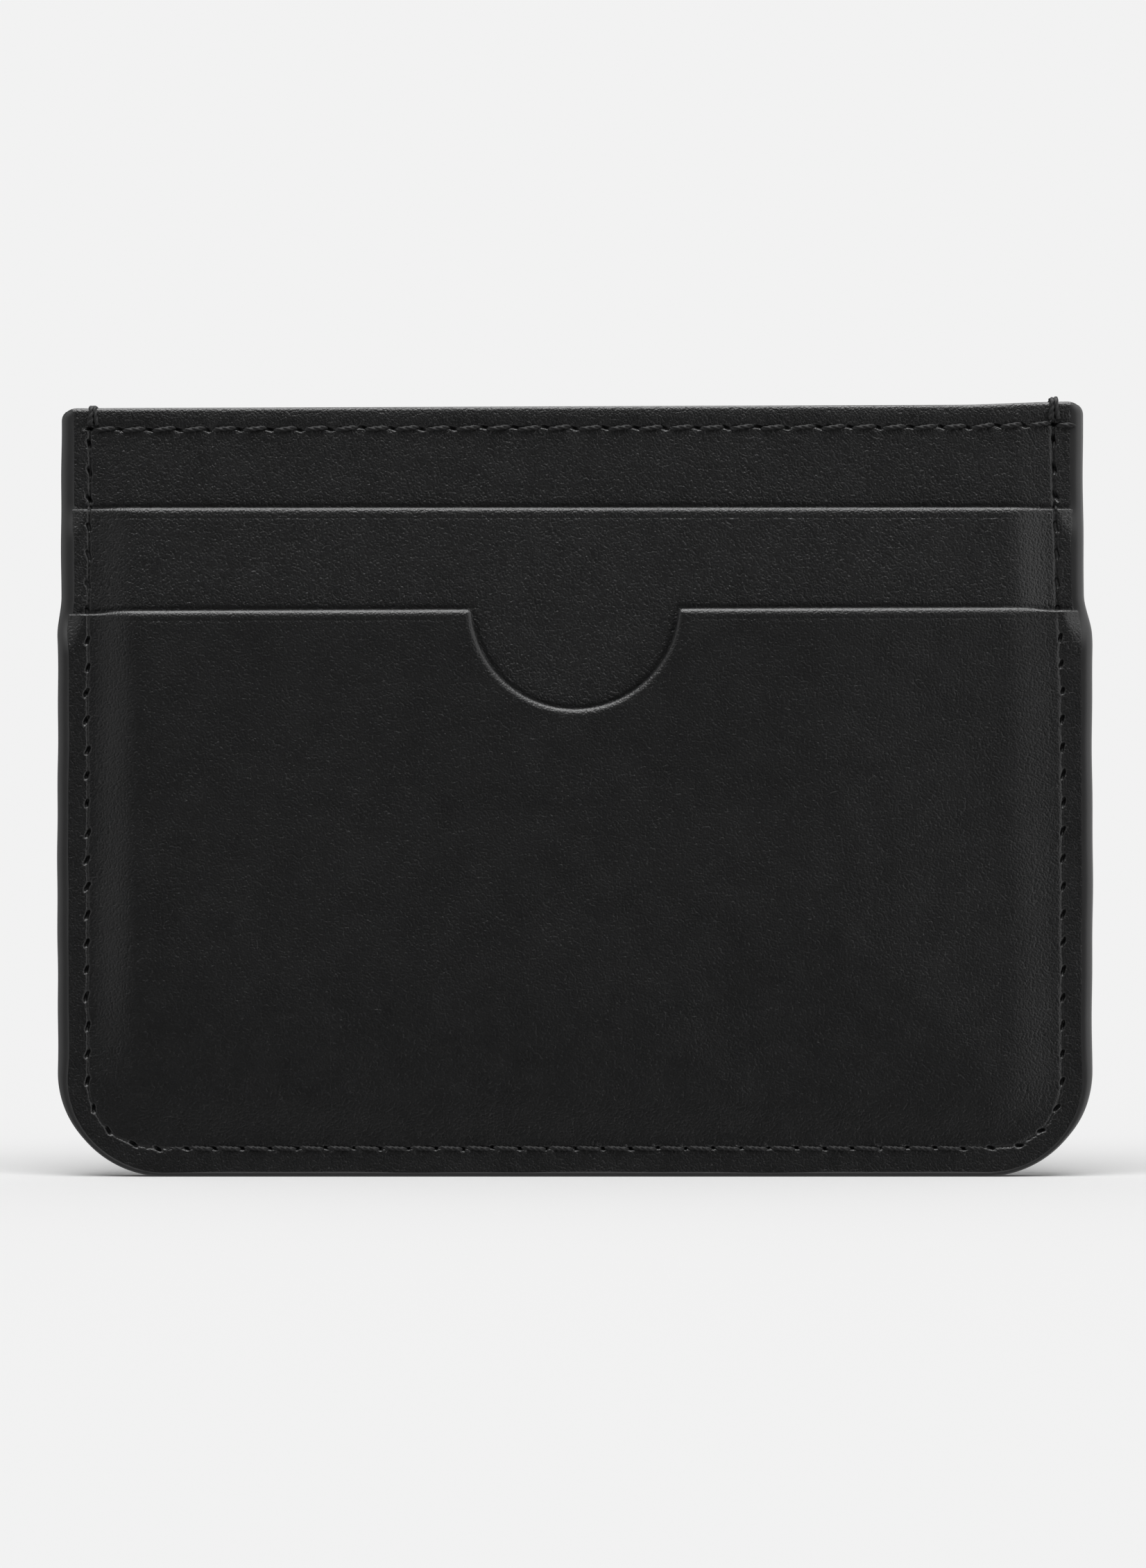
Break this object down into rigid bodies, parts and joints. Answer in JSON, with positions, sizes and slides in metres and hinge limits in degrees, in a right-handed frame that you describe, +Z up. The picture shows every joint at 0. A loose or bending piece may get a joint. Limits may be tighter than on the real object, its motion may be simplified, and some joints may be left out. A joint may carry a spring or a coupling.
{
  "type": "card holder",
  "caption": "Black leather card holder with stepped card slots on both faces, a centre pocket and a thumb notch.",
  "frame": {"origin": "middle of the base, on the plane between the front and rear halves", "axes": "+X along the width, +Y through the thickness towards the rear, +Z up towards the pocket mouths"},
  "size_m": [0.102, 0.0078, 0.0764],
  "materials": {
    "leather": "fine pebbled grain, satin",
    "inner_leather": "skived, matt",
    "woven_lining": "fine twill, matt",
    "thread": "three-ply twisted, waxed, satin",
    "edge_paint": "smooth, satin"
  },
  "bodies": {
    "root": {"front_lower_pocket": "leather", "front_lower_pocket_seam_allowance": "inner_leather", "front_lower_pocket_lining": "woven_lining", "front_upper_pocket": "leather", "front_upper_pocket_seam_allowance": "inner_leather", "front_upper_pocket_lining": "woven_lining", "front_upper_pocket_strip_seam": "thread", "front_upper_pocket_floor_seam": "thread", "front_panel": "leather", "front_panel_seam_allowance": "inner_leather", "front_panel_top_fold": "leather", "front_panel_lining": "woven_lining", "front_top_seam": "thread", "rear_lower_pocket": "leather", "rear_lower_pocket_seam_allowance": "inner_leather", "rear_lower_pocket_lining": "woven_lining", "rear_upper_pocket": "leather", "rear_upper_pocket_seam_allowance": "inner_leather", "rear_upper_pocket_lining": "woven_lining", "rear_upper_pocket_strip_seam": "thread", "rear_upper_pocket_floor_seam": "thread", "rear_panel": "leather", "rear_panel_seam_allowance": "inner_leather", "rear_panel_top_fold": "leather", "rear_panel_lining": "woven_lining", "rear_top_seam": "thread", "painted_edge": "edge_paint", "perimeter_seam_front_thread": "thread", "perimeter_seam_rear_thread": "thread", "left_over_edge_tack": "thread", "right_over_edge_tack": "thread"}
  },
  "joints": []
}
